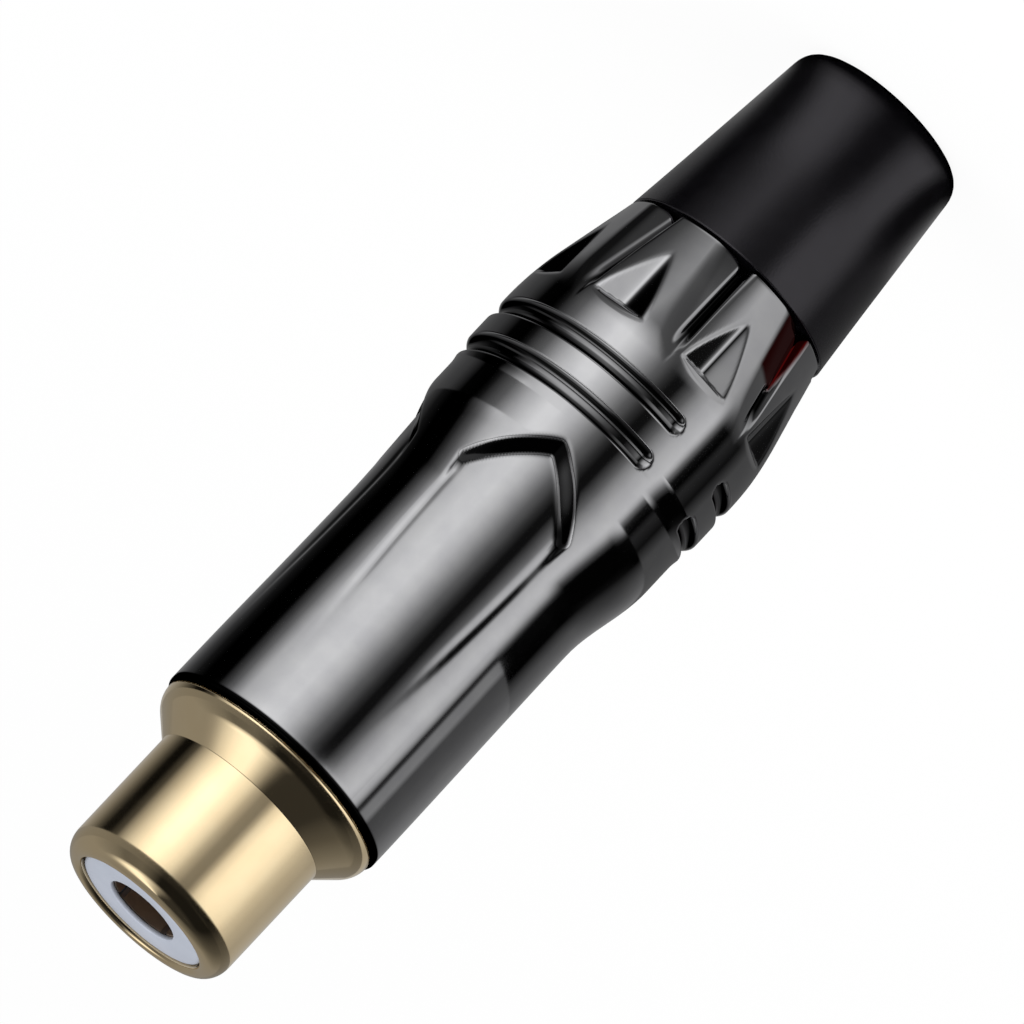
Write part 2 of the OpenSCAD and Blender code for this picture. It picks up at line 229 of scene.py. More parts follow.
def turned(angle, centre):
    """The angle from a centre, from -180 to 180 degrees."""
    return (angle - centre + 180.0) % 360.0 - 180.0


def from_valley(angle):
    """The angle in radians from the bottom of the nearest valley."""
    return np.radians((angle - VALLEY_TURN + PITCH / 2) % PITCH - PITCH / 2)


def steepness(angle):
    """Rise over run of a slope of so many degrees."""
    return math.tan(math.radians(angle))


# Surface of the shell


def drawn_radius(u):
    """Radius of the plain turned shell as drawn, before its corners are softened."""
    waist = FRONT_R - (FRONT_R - WAIST_R) * ease(u / WAIST_POS)
    flare = (SHOULDER_R - WAIST_R) * ease((u - WAIST_POS) / FLARE_LEN)
    step = (GRIP_R - SHOULDER_R) * ease((u - SHOULDER_POS) / STEP_LEN)
    into_bend = np.clip(u - GRIP_END, 0.0, BEND_LEN)
    straight = np.maximum(u - GRIP_END - BEND_LEN, 0.0)
    return waist + flare + step - TAPER_SLOPE * (into_bend**2 / (2.0 * BEND_LEN) + straight)


def softened():
    """The drawn profile at close steps, smoothed as casting and polishing leave it."""
    step = 0.02
    margin = 2.0
    reach = 4.0 * SOFTNESS
    place = np.arange(-margin, SHELL_LEN + margin, step)
    offset = np.arange(-reach, reach, step)
    weight = np.exp(-(offset**2) / (2.0 * SOFTNESS**2))
    smooth = np.convolve(drawn_radius(place), weight / weight.sum(), mode="same")
    inside = slice(len(offset), -len(offset))
    return place[inside], smooth[inside]


PROFILE = softened()


def plain_radius(u):
    """Radius of the plain turned shell at a distance from its front."""
    return np.interp(u, *PROFILE)


def wall_depth(x):
    """Share of a panel's depth reached at x across its sloped wall, round at its crest and foot."""
    return soft_min(soft_max(x, 0.0 * x, WALL_EASE), 1.0 + 0.0 * x, WALL_EASE)


def panel_reach(u, across):
    """Distance in from a panel's side edge in millimetres, and from its point in widths of its wall."""
    narrow = np.clip((WAIST_POS - u) / (WAIST_POS - PANEL_START), 0.0, 1.0) ** PANEL_NARROW_BEND
    side = PANEL_HALF - PANEL_NARROW * narrow - np.abs(across)
    x = np.abs(across) / POINT_HALF
    slant = POINT_LEN * POINT_BEND * x ** (POINT_BEND - 1.0) / POINT_HALF
    tip = (PANEL_TIP - POINT_LEN * x**POINT_BEND - u) / np.sqrt(1.0 + slant**2)
    return side, tip / (WALL_TIP * (1.0 + WALL_APEX * np.maximum(1.0 - x, 0.0) ** 2))


def panel_floor(u, angle):
    """Radius of a panel's floor, which rises much less than the shell does where it flares."""
    middle = plain_radius(np.minimum(u, WAIST_POS - FLOOR_HOLD)) - FLOOR_DEPTH
    past = soft_max(u - WAIST_POS + FLOOR_SLOPE_START, 0.0 * u, FLOOR_SLOPE_EASE)
    off = middle + FLOOR_SLOPE * past - FLOOR_CURVE_R
    a = np.radians(angle)
    return off * np.cos(a) + np.sqrt(FLOOR_CURVE_R**2 - (off * np.sin(a)) ** 2)


def with_panel(radius, u, angle, centre):
    """The outside with one bullet-shaped panel sunk into it, and a faint gutter along its sides."""
    away = turned(angle, centre)
    side, tip = panel_reach(u, np.radians(away) * WAIST_R)
    inside = wall_depth(soft_min(side / WALL_SIDE, tip, WALL_CORNER)) * rise(u, PANEL_START, PANEL_FULL)
    beside = 1.0 - rise(side, GUTTER_POS, GUTTER_POS + GUTTER_WIDTH)
    along = rise(u, GUTTER_START, PANEL_FULL) * ease((PANEL_TIP - u) / GUTTER_END)
    floor = np.minimum(panel_floor(u, np.clip(away, -FLOOR_TURN, FLOOR_TURN)), radius)
    return radius + (floor - GUTTER_DEPTH * beside * along - radius) * inside


def groove_dip(u, angle, groove):
    """Depth of one groove of round section, which ends round at the plain bridges."""
    beside = np.zeros_like(angle)
    for bridge in BRIDGES:
        inside = (BRIDGE_HALF - np.abs(turned(angle, bridge))) * math.radians(1.0) * GRIP_R
        beside = np.maximum(beside, inside + GROOVE_HALF)
    away = np.hypot(u - groove, np.maximum(beside, 0.0))
    cutter_r = (GROOVE_HALF**2 + GROOVE_DEPTH**2) / (2.0 * GROOVE_DEPTH)
    dip = np.sqrt(np.maximum(cutter_r**2 - away**2, 0.0)) - cutter_r + GROOVE_DEPTH
    return soft_max(dip, 0.0 * dip, GROOVE_EASE)


def valley_sides(u, angle):
    """Radius of the nearest valley's wide side and of its narrow side."""
    start_r = float(plain_radius(VALLEY_POS))
    end_r = REAR_R - VALLEY_DEPTH
    bottom = start_r + (end_r - start_r) * (u - VALLEY_POS) / (SHELL_LEN - VALLEY_POS)
    x = from_valley(angle)
    wide = bottom / np.maximum(np.cos(x) + steepness(WIDE_SLOPE) * np.sin(x), LEAST_SHARE)
    narrow = bottom / np.maximum(np.cos(x) - steepness(NARROW_SLOPE) * np.sin(x), LEAST_SHARE)
    return wide, narrow


def recess_radius(u, angle):
    """Radius of the nearest triangular recess: a V along the axis, and a sloped shelf and wall in front."""
    front_r = float(plain_radius(RECESS_POS))
    x = np.radians((angle % PITCH) - PITCH / 2)
    away = np.sqrt(np.sin(x) ** 2 + RIDGE_EASE**2) - RIDGE_EASE
    opening = np.maximum(np.cos(x) - RECESS_DEPTH / RECESS_HALF * away, LEAST_SHARE)
    vee = (front_r - RECESS_DEPTH) / opening
    into = np.maximum(u - RECESS_POS, 0.0)
    shelf = np.minimum(into, SHELF_LEN) * steepness(SHELF_SLOPE)
    steep = np.maximum(into - SHELF_LEN, 0.0) * steepness(STEEP_SLOPE)
    wall = (front_r - shelf - steep + np.maximum(RECESS_POS - u, 0.0)) / np.cos(x)
    return soft_max(vee, wall, RECESS_EASE)


def paint_mark(u, angle):
    """Share of red paint on the wide side and in the bottom of one valley, which tells the channel."""
    along = (u - MARK_START - MARK_SLANT * (MARK_TURN - angle)) / MARK_END_FADE
    half = MARK_HALF + MARK_WIDEN * (u - MARK_START)
    beside = (half - np.abs(angle - MARK_TURN)) / MARK_SIDE_FADE
    return ease(along) * ease(beside)


def valley_seam_and_shade(u, angle):
    """Share of the narrow slit between two petals, cut into the shell and darkened with painted shade,
    which the paint fills where it tells the channel.
    """
    across = from_valley(angle) * REAR_R
    reach = np.where(across < 0, SEAM_WIDE, SEAM_NARROW)
    inside = ease(SEAM_SHARP * (1.0 - np.abs(across) / reach))
    return inside * ease((u - VALLEY_POS) / SEAM_FADE) * (1.0 - paint_mark(u, angle))


def groove_painted_shade(u, angle):
    """Share of painted shade in the ring grooves, thicker towards their edges than in the middle."""
    share = np.zeros_like(angle)
    for groove in GROOVES:
        inside = ease(groove_dip(u, angle, groove) / GROOVE_SHADE_DEPTH)
        off = np.abs(np.clip((u - groove) / GROOVE_HALF, -1.0, 1.0) + GROOVE_SHADE_OFF)
        thick = GROOVE_SHADE_MIDDLE + (1.0 - GROOVE_SHADE_MIDDLE) * ease(GROOVE_SHADE_RISE * off)
        share = np.maximum(share, inside * thick)
    return share


def point_painted_shade(u, angle):
    """Share of painted shade on the sloped wall at a panel's point, thinner on one side of the point."""
    share = np.zeros_like(angle)
    for centre in PANELS:
        across = np.radians(turned(angle, centre)) * WAIST_R
        side, tip = panel_reach(u, across)
        off = np.abs(tip - 0.5)
        inside = ease((POINT_SHADE_REACH - off) / POINT_SHADE_FADE) * rise(side, *POINT_SHADE_SIDE)
        low = POINT_SHADE_THIN + POINT_SHADE_GAIN * ease(POINT_SHADE_RISE * off)
        thin = rise(across, *THIN_FROM) * (1.0 - rise(across, *THIN_TO))
        share = np.maximum(share, inside * (POINT_SHADE - (POINT_SHADE - low) * thin))
    return share


def shell_radius(u, angle):
    """Radius of the finished shell at a distance from its front and an angle round it."""
    radius = plain_radius(u)
    for centre in PANELS:
        radius = with_panel(radius, u, angle, centre)
    for groove in GROOVES:
        radius = radius - groove_dip(u, angle, groove)
    wide, narrow = valley_sides(u, angle)
    radius = soft_min(radius, soft_max(wide, narrow, VALLEY_EASE), VALLEY_EDGE_EASE)
    radius = soft_min(radius, recess_radius(u, angle), RECESS_EASE)
    return radius - SEAM_DEPTH * valley_seam_and_shade(u, angle)


def rear_edge(angle):
    """How far the shell's rear end draws back where two petals meet."""
    across = from_valley(angle) * REAR_R
    reach = np.where(across < 0, NOTCH_WIDE, NOTCH_NARROW)
    inside = np.clip(1.0 - np.abs(across) / reach, 0.0, 1.0)
    return NOTCH_DEEP * (1.0 - np.sqrt(1.0 - inside**2))


def stops(*spans):
    """Distances in equal steps over several stretches: (end, number of steps) each, from 0."""
    out, start = [0.0], 0.0
    for end, count in spans:
        out += [start + (end - start) * (i + 1) / count for i in range(count)]
        start = end
    return np.array(out)


def lathe_mesh(name, rings):
    """A closed mesh from rings of points. rings is an array of shape (rows, columns, 3), in metres."""
    rows, columns = rings.shape[:2]
    faces = []
    for r in range(rows):
        low = r * columns
        high = ((r + 1) % rows) * columns
        for c in range(columns):
            d = (c + 1) % columns
            faces.append((low + c, low + d, high + d, high + c))
    mesh = bpy.data.meshes.new(name)
    mesh.from_pydata(rings.reshape(-1, 3).tolist(), [], faces)
    mesh.validate()
    mesh.shade_smooth()
    piece = bpy.data.objects.new(name, mesh)
    bpy.context.scene.collection.objects.link(piece)
    return piece


def ring_points(radius, angle, z):
    """Points round the axis. Angle 0 is at -Y and grows towards -X, all in millimetres and degrees."""
    a = np.radians(angle)
    return np.stack([-radius * np.sin(a), -radius * np.cos(a), z], axis=-1) * MM


def shell_rows():
    """Distances of the shell's rows from its front, closer together where its forms are fine."""
    return stops(
        (FRONT_ROUND, 5),
        (EDGE_SHADE + EDGE_MARGIN, 3),
        (PANEL_FULL, 13),
        (PANEL_TIP - POINT_LEN - ROW_MARGIN, 14),
        (PANEL_TIP + ROW_MARGIN / 2, 44),
        (GROOVES[0] - ROW_MARGIN, 4),
        (GROOVES[1] + ROW_MARGIN, 48),
        (RECESS_POS - RECESS_MARGIN, 8),
        (RECESS_POS + 2 * ROW_MARGIN, 22),
        (SHELL_LEN - REAR_ROUND, 42),
        (SHELL_LEN, 4),
    )


def shell_columns():
    """Angles of the shell's columns, closer together at the valleys and along the recesses."""
    edges = []
    for i in range(PETALS):
        valley = VALLEY_TURN + i * PITCH
        recess = PITCH * (i + 0.5)
        spans = (
            (valley - VALLEY_NEAR, valley + VALLEY_NEAR, 12),
            (valley + VALLEY_NEAR, recess - RECESS_NEAR, 12),
            (recess - RECESS_NEAR, recess + RECESS_NEAR, 5),
            (recess + RECESS_NEAR, valley + PITCH - VALLEY_NEAR, 26),
        )
        for start, stop, count in spans:
            edges += [start + (stop - start) * k / count for k in range(count)]
    return np.array(edges)


def make_shell():
    """The die-cast shell, as one closed surface: outside, rounded ends and bored inside."""
    angle = shell_columns()
    rings, marks, shade_shares = [], [], []
    for u in shell_rows():
        drawn = max(0.0, (u - SHELL_LEN + NOTCH_FADE) / NOTCH_FADE)
        place = u - rear_edge(angle) * drawn
        radius = shell_radius(place, angle)
        for edge, size in ((u, FRONT_ROUND), (SHELL_LEN - u, REAR_ROUND)):
            if edge < size:
                radius = radius - size + math.sqrt(size**2 - (size - edge) ** 2)
        rings.append(ring_points(radius, angle, shell_high - place))
        marks.append(paint_mark(place, angle))
        # The shade painted on the shell: at its front edge, in its ring grooves, on the walls at the
        # panels' points and in the valley slits.
        shade_paint = np.maximum(groove_painted_shade(place, angle), ease((EDGE_SHADE - u) / EDGE_SHADE_FADE))
        shade_paint = np.maximum(shade_paint, point_painted_shade(place, angle))
        shade_shares.append(np.maximum(valley_seam_and_shade(place, angle), shade_paint))
    end = shell_low + rear_edge(angle)
    inner = [
        (REAR_HOLE_R + REAR_CHAMFER, end),
        (REAR_HOLE_R, end + REAR_CHAMFER),
        (REAR_HOLE_R, shell_low + REAR_WALL),
        (CAVITY_R, shell_low + REAR_WALL),
        (CAVITY_R, shell_high - SCREW_LEN - SCREW_RUNOUT),
        (SCREW_R, shell_high - SCREW_LEN),
        (SCREW_R, shell_high - SCREW_CHAMFER),
        (SCREW_R + SCREW_CHAMFER, shell_high),
    ]
    for radius, z in inner:
        rings.append(ring_points(0.0 * angle + radius, angle, 0.0 * angle + z))
        marks.append(0.0 * angle)
        shade_shares.append(0.0 * angle)
    shell = lathe_mesh("shell_skin", np.array(rings)[::-1])
    # mark holds the red channel paint; the other attribute holds the painted shade.
    for name, values in (("mark", marks), ("painted_shade", shade_shares)):
        layer = shell.data.attributes.new(name, "FLOAT", "POINT")
        layer.data.foreach_set("value", np.array(values, np.float32)[::-1].ravel())
    return shell


def turned_piece(name, profile, columns=256):
    """A closed turned piece from a profile of (radius, z) in millimetres, run so that it turns outwards."""
    angle = np.arange(columns) * 360.0 / columns
    rings = [ring_points(np.full(columns, r), angle, np.full(columns, z)) for r, z in profile]
    return lathe_mesh(name, np.array(rings))


def rounded(corners, steps=5):
    """A profile with round corners, from (radius, z, rounding) each."""
    out = []
    count = len(corners)
    for i, (r, z, size) in enumerate(corners):
        here = np.array([r, z], float)
        if size <= 0:
            out.append((r, z))
            continue
        before = np.array(corners[i - 1][:2], float) - here
        after = np.array(corners[(i + 1) % count][:2], float) - here
        start = here + before / np.linalg.norm(before) * size
        stop = here + after / np.linalg.norm(after) * size
        for t in np.linspace(0, 1, steps + 1):
            point = (1 - t) ** 2 * start + 2 * t * (1 - t) * here + t**2 * stop
            out.append((point[0], point[1]))
    return out


# The barrel and its flange
BARREL_R = 4.15
MOUTH_BORE_R = 3.18
LIP_CREST_R = 3.4
LIP_LEN = 0.98
LIP_HOLD = 0.1
BARREL_LEN = 6.2
FOOT_ROUND = 0.02
NOSE_LEN = 1.3
NOSE_ROUND = 0.5
RIM_LEN = 0.53
RIM_ROUND = 0.05
FLANGE_R = 5.45
NECK_R = 4.55
RELIEF_DEPTH = 0.3
RELIEF_LEN = 0.6
THREAD_PITCH = 0.75
THREAD_DEPTH = 0.26
THREAD_FLAT = 0.1
THREAD_FLANK = 0.25
THREAD_END = 0.3
SEAT_R = 3.6
SEAT_DEPTH = 7.6


def make_barrel():
    """The turned barrel with its flange and screwed neck."""
    mouth = jack_high
    foot = mouth - BARREL_LEN
    back = foot - NOSE_LEN - RIM_LEN
    inner = LIP_CREST_R - MOUTH_BORE_R
    outer = BARREL_R - LIP_CREST_R
    relief_r = NECK_R - RELIEF_DEPTH
    root_r = NECK_R - THREAD_DEPTH
    profile = [(MOUTH_BORE_R, mouth - SEAT_DEPTH)]
    for a in np.radians(np.linspace(0, 85, 8)):
        profile.append((LIP_CREST_R - inner * math.cos(a), mouth - inner * (1.0 - math.sin(a))))
    for a in np.radians(np.linspace(0, 90, 14)):
        profile.append((LIP_CREST_R + outer * math.sin(a), mouth - LIP_LEN * (1.0 - math.cos(a))))
    profile += [(BARREL_R, mouth - LIP_LEN - LIP_HOLD), (BARREL_R, foot + 4 * FOOT_ROUND)]
    profile += rounded([
        (BARREL_R, foot + 2 * FOOT_ROUND, 0), (BARREL_R, foot, FOOT_ROUND),
        (FLANGE_R, foot - NOSE_LEN, NOSE_ROUND), (FLANGE_R, back + 2 * RIM_ROUND, 0),
    ], steps=10)
    profile += rounded([
        (FLANGE_R, back + 1.4 * RIM_ROUND, 0), (FLANGE_R, back, RIM_ROUND), (relief_r, back, 0),
    ])
    profile += [(relief_r, back - RELIEF_LEN)]
    turn = back - THREAD_PITCH
    while turn - THREAD_PITCH > jack_low + THREAD_END:
        flank = turn - THREAD_FLAT
        root = flank - THREAD_FLANK
        profile += [(NECK_R, turn), (NECK_R, flank), (root_r, root), (root_r, root - THREAD_FLAT)]
        turn -= THREAD_PITCH
    profile += [(relief_r, jack_low), (SEAT_R, jack_low), (SEAT_R, mouth - SEAT_DEPTH)]
    return turned_piece("barrel_skin", profile[::-1])


# The boot
BOOT_R = 5.15
BOOT_EDGE_ROUND = 0.08
BOOT_EDGE_LEN = 0.15
BOOT_EDGE_DROP = 0.02
BOOT_MID_R = 4.86
BOOT_MID = 2.7
BOOT_MID_ROUND = 1.2
BOOT_END_R = 4.16
BOOT_END_ROUND = 0.9
CABLE_R = 2.95
CABLE_ROUND = 0.15
BOOT_NECK_R = 4.15
BOOT_LIP_R = 4.7
BOOT_LIP_ROUND = 0.2
BOOT_GAP = 0.1
BOOT_LIP_GAP = 0.05


def make_boot():
    """The moulded rubber boot."""
    top = shell_low - BOOT_GAP
    lip = shell_low + REAR_WALL + BOOT_LIP_GAP
    profile = rounded([
        (CABLE_R, boot_low, CABLE_ROUND),
        (BOOT_END_R, boot_low, BOOT_END_ROUND),
        (BOOT_MID_R, top - BOOT_MID, BOOT_MID_ROUND),
        (BOOT_R - BOOT_EDGE_DROP, top - BOOT_EDGE_LEN, 0),
        (BOOT_R, top, BOOT_EDGE_ROUND),
        (BOOT_NECK_R, top, 0),
        (BOOT_NECK_R, lip, 0),
        (BOOT_LIP_R, lip, 0),
        (BOOT_LIP_R, boot_high, BOOT_LIP_ROUND),
        (CABLE_R, boot_high, BOOT_LIP_ROUND / 2),
    ], steps=8)
    return turned_piece("boot_skin", profile[::-1])


# The insulator in the mouth
PIN_HOLE_R = 1.68
PIN_HOLE_EDGE = 0.06
PIN_LIP = 0.2
CONTACT_ROOM_R = 2.07
COLLAR_R = 2.62
COLLAR_LEN = 0.72
INSULATOR_EDGE = 0.2
INSULATOR_FIT = 0.02


def make_insulator():
    """The moulded insulator in the mouth."""
    out_r = MOUTH_BORE_R - INSULATOR_FIT
    seat_r = SEAT_R - INSULATOR_FIT
    shoulder = jack_high - SEAT_DEPTH - INSULATOR_FIT
    collar = insulator_low + COLLAR_LEN
    lip = insulator_high - PIN_LIP
    profile = rounded([
        (PIN_HOLE_R, insulator_high, PIN_HOLE_EDGE),
        (out_r, insulator_high, INSULATOR_EDGE),
        (out_r, shoulder, 0),
        (seat_r, shoulder, 0),
        (seat_r, insulator_low, 0),
        (COLLAR_R, insulator_low, 0),
        (COLLAR_R, collar, 0),
        (CONTACT_ROOM_R, collar, 0),
        (CONTACT_ROOM_R, lip, 0),
        (PIN_HOLE_R, lip, 0),
    ])
    return turned_piece("insulator_skin", profile, columns=160)


# Materials


class Nodes:
    """Short calls for building a material's nodes."""

    def __init__(self, name):
        self.material = bpy.data.materials.new(name)
        self.material.use_nodes = True
        self.tree = self.material.node_tree
        self.shader = self.tree.nodes["Principled BSDF"]

    def new(self, kind, **values):
        node = self.tree.nodes.new(kind)
        for key, value in values.items():
            setattr(node, key, value)
        return node

    def link(self, out, into):
        self.tree.links.new(out, into)

    def math(self, kind, a, b=None):
        """A math node. a is another node's value, and b is one too or a plain number."""
        node = self.new("ShaderNodeMath", operation=kind)
        self.link(a, node.inputs[0])
        if isinstance(b, float):
            node.inputs[1].default_value = b
        elif b is not None:
            self.link(b, node.inputs[1])
        return node.outputs[0]

    def noise(self, scale, detail=4.0):
        """Noise over the object's own coordinates."""
        coords = self.new("ShaderNodeTexCoord")
        noise = self.new("ShaderNodeTexNoise")
        noise.inputs["Scale"].default_value = scale
        noise.inputs["Detail"].default_value = detail
        self.link(coords.outputs["Object"], noise.inputs["Vector"])
        return noise.outputs["Fac"]

    def ramp(self, value, *colours):
        """A colour ramp from (position, colour) pairs."""
        node = self.new("ShaderNodeValToRGB")
        ramp = node.color_ramp
        while len(ramp.elements) < len(colours):
            ramp.elements.new(0.5)
        for element, (place, colour) in zip(ramp.elements, colours):
            element.position = place
            element.color = (*colour, 1.0)
        self.link(value, node.inputs["Fac"])
        return node.outputs["Color"]

    def bump(self, height, strength, distance):
        node = self.new("ShaderNodeBump")
        node.inputs["Strength"].default_value = strength
        node.inputs["Distance"].default_value = distance
        self.link(height, node.inputs["Height"])
        self.link(node.outputs["Normal"], self.shader.inputs["Normal"])


def black_chrome():
    """Mirror-bright black chrome over a die casting, faintly uneven as such plating is, with the red
    channel mark and painted shade mixed into its colour.
    """
    n = Nodes("black_chrome")
    n.shader.inputs["Metallic"].default_value = 1.0
    tone = n.ramp(n.noise(900.0, 3.0), (0.35, (0.53, 0.53, 0.545)), (0.65, (0.57, 0.57, 0.58)))
    mark = n.new("ShaderNodeAttribute", attribute_name="mark")
    painted_shade = n.new("ShaderNodeAttribute", attribute_name="painted_shade")
    paint = n.new("ShaderNodeMix", data_type="RGBA")
    paint.inputs["B"].default_value = (0.10, 0.004, 0.004, 1.0)
    n.link(mark.outputs["Fac"], paint.inputs["Factor"])
    n.link(tone, paint.inputs["A"])
    # Painted shade: where the shading attribute is set, the colour is mixed to near black and the specular
    # tint is turned off.
    shade_paint = n.new("ShaderNodeMix", data_type="RGBA")
    shade_paint.inputs["B"].default_value = (0.004, 0.004, 0.004, 1.0)
    n.link(painted_shade.outputs["Fac"], shade_paint.inputs["Factor"])
    n.link(paint.outputs["Result"], shade_paint.inputs["A"])
    n.link(shade_paint.outputs["Result"], n.shader.inputs["Base Color"])
    gloss = n.ramp(n.noise(350.0, 5.0), (0.3, (0.05, 0.05, 0.05)), (0.7, (0.08, 0.08, 0.08)))
    n.link(gloss, n.shader.inputs["Roughness"])
    unshaded = n.math("ADD", n.math("MULTIPLY", painted_shade.outputs["Fac"], -1.0), 1.0)
    n.link(unshaded, n.shader.inputs["Specular Tint"])
    n.bump(n.noise(420.0, 2.0), 0.08, 0.00004)
    return n.material


def gold_plate():
    """Pale gold plate over turned brass."""
    n = Nodes("gold_plate")
    n.shader.inputs["Metallic"].default_value = 1.0
    tone = n.ramp(n.noise(600.0, 3.0), (0.35, (0.98, 0.78, 0.48)), (0.65, (1.0, 0.81, 0.51)))
    n.link(tone, n.shader.inputs["Base Color"])
    gloss = n.ramp(n.noise(500.0, 5.0), (0.3, (0.08, 0.08, 0.08)), (0.7, (0.12, 0.12, 0.12)))
    n.link(gloss, n.shader.inputs["Roughness"])
    return n.material


def rubber():
    """Fine black rubber, a little shiny."""
    n = Nodes("boot_rubber")
    darker = (0.0012, 0.0010, 0.0016)
    lighter = (0.0022, 0.0020, 0.0028)
    tone = n.ramp(n.noise(1500.0, 6.0), (0.35, darker), (0.7, lighter))
    n.link(tone, n.shader.inputs["Base Color"])
    n.shader.inputs["Roughness"].default_value = 0.2
    n.shader.inputs["Specular IOR Level"].default_value = 0.9
    n.shader.inputs["Specular Tint"].default_value = (0.96, 0.92, 1.0, 1.0)
    n.bump(n.noise(9000.0, 3.0), 0.25, 0.00002)
    return n.material


def nylon():
    """Bluish white moulded nylon."""
    n = Nodes("nylon")
    tone = n.ramp(n.noise(700.0, 4.0), (0.35, (0.40, 0.43, 0.50)), (0.7, (0.43, 0.46, 0.53)))
    n.link(tone, n.shader.inputs["Base Color"])
    n.shader.inputs["Roughness"].default_value = 0.45
    n.bump(n.noise(4000.0, 3.0), 0.15, 0.00002)
    return n.material


def sleeve_plastic():
    """Milky plastic of the thin tube, seen only when the shell is unscrewed."""
    n = Nodes("sleeve_plastic")
    tone = n.ramp(n.noise(500.0, 4.0), (0.35, (0.50, 0.50, 0.48)), (0.7, (0.56, 0.56, 0.54)))
    n.link(tone, n.shader.inputs["Base Color"])
    n.shader.inputs["Roughness"].default_value = 0.35
    return n.material


def contact_plate():
    """Duller and browner plate on the stamped tag and the turned contact; its brown is partly painted shade
    for the inside of the pin hole.
    """
    n = Nodes("contact_plate")
    n.shader.inputs["Metallic"].default_value = 1.0
    tone = n.ramp(n.noise(800.0, 3.0), (0.35, (0.76, 0.60, 0.46)), (0.65, (0.82, 0.66, 0.51)))
    n.link(tone, n.shader.inputs["Base Color"])
    n.shader.inputs["Roughness"].default_value = 0.45
    return n.material


def dress(piece, material, body, slot, *nodes):
    """Gives a piece its material and body, and lets it stand for its CAD nodes."""
    piece.data.materials.clear()
    piece.data.materials.append(material)
    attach(piece, body)
    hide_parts(*nodes)


NYLON = nylon()
SHADED_CONTACT = contact_plate()

dress(make_shell(), black_chrome(), "shell", "black_chrome", "shell")
dress(make_barrel(), gold_plate(), "jack", "gold_plate", "jack_barrel")
dress(make_insulator(), NYLON, "jack", "nylon", "front_insulator")
dress(make_boot(), rubber(), "boot", "boot_rubber", "boot")

INSIDE = {
    "rear_insulator": NYLON,
    "centre_contact": SHADED_CONTACT,
    "ground_tag": SHADED_CONTACT,
    "insulating_sleeve": sleeve_plastic(),
}
for name, material in INSIDE.items():
    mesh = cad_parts[name].data
    mesh.materials.clear()
    mesh.materials.append(material)


# Studio

FLOOR_SIZE = 3.0
FLOOR_COLOUR = (0.9, 0.9, 0.9)
FLOOR_GLOW = 0.93


def plain_background(name, colour, share):
    """A matt surface that the camera, metal and glass see as nearly plain white, with its shadow kept."""
    n = Nodes(name)
    n.shader.inputs["Base Color"].default_value = (*colour, 1.0)
    n.shader.inputs["Roughness"].default_value = 1.0
    rays = n.new("ShaderNodeLightPath")
    seen = n.math("MAXIMUM", rays.outputs["Is Camera Ray"], rays.outputs["Is Glossy Ray"])
    seen = n.math("MAXIMUM", seen, rays.outputs["Is Transmission Ray"])
    glow = n.new("ShaderNodeEmission")
    mix = n.new("ShaderNodeMixShader")
    n.link(n.math("MULTIPLY", seen, share), mix.inputs["Fac"])
    n.link(n.shader.outputs[0], mix.inputs[1])
    n.link(glow.outputs[0], mix.inputs[2])
    n.link(mix.outputs[0], n.tree.nodes["Material Output"].inputs["Surface"])
    return n.material


def make_floor():
    """A plain pale floor, wide enough for every view."""
    bpy.ops.mesh.primitive_plane_add(size=FLOOR_SIZE, location=(0, 0, 0))
    floor = bpy.context.object
    floor.name = "floor"
    floor.data.materials.append(plain_background("floor_white", FLOOR_COLOUR, FLOOR_GLOW))


# Reflector: the light that polished metal sees round it, as levels by the angle from the camera's side
SHELL_FRONT = (
    (-17, 0.8), (-3, 0.33), (3, 0.17), (12, 0.045), (18, 0.008), (24, 0.008), (29, 0.08), (34, 0.18),
    (40, 0.4), (48, 0.64), (58, 0.8),
)
SHELL_LEFT = (
    (-180, 0.3), (-137, 0.05), (-125, 0.01), (-112, 0.0), (-92, 0.0), (-84, 0.08), (-77, 0.21),
    (-71, 0.46), (-65, 0.73), (-50, 0.88), (-42, 1.0), (-28, 1.03),
)
SHELL_RIGHT = (
    (63, 0.83), (67, 0.78), (70.5, 0.58), (74, 0.26), (77, 0.06), (80, 0.003), (106, 0.0), (124, 0.11),
    (180, 0.3),
)
FLARE_LEFT = (
    (-180, 0.3), (-137, 0.05), (-125, 0.01), (-112, 0.0), (-90, 0.0), (-84, 0.035), (-77, 0.12),
    (-70, 0.32), (-63, 0.62), (-53, 0.86), (-42, 1.0), (-28, 1.03),
)
FLARE_RIGHT = (
    (61, 0.82), (65, 0.62), (68.5, 0.3), (72, 0.08), (76, 0.001), (98, 0.001), (106, 0.006),
    (116, 0.045), (180, 0.22),
)
GRIP_LEFT = (
    (-180, 0.15), (-124, 0.06), (-107, 0.001), (-92, 0.0), (-86, 0.01), (-79, 0.07), (-70, 0.16),
    (-64, 0.33), (-55, 0.65), (-46, 0.9), (-37, 1.12), (-28, 1.1),
)
GRIP_RIGHT = (
    (61, 0.83), (64, 0.62), (67, 0.22), (71, 0.01), (78, 0.0), (84, 0.03), (97, 0.007), (112, 0.09),
    (180, 0.12),
)
TAPER_ALL = (
    (-180, 0.02), (-172, 0.03), (-160, 0.2), (-120, 0.2), (-100, 0.01), (-85, 0.01), (-65, 0.1),
    (-50, 0.23), (-42, 0.31), (-35, 0.38), (-29, 0.41), (-22, 0.28), (-15, 0.18), (-9, 0.12), (0, 0.1),
    (9, 0.09), (13, 0.13), (18, 0.29), (22, 0.47), (27, 0.6), (60, 0.52), (80, 0.1), (150, 0.14),
    (170, 0.08), (180, 0.02),
)
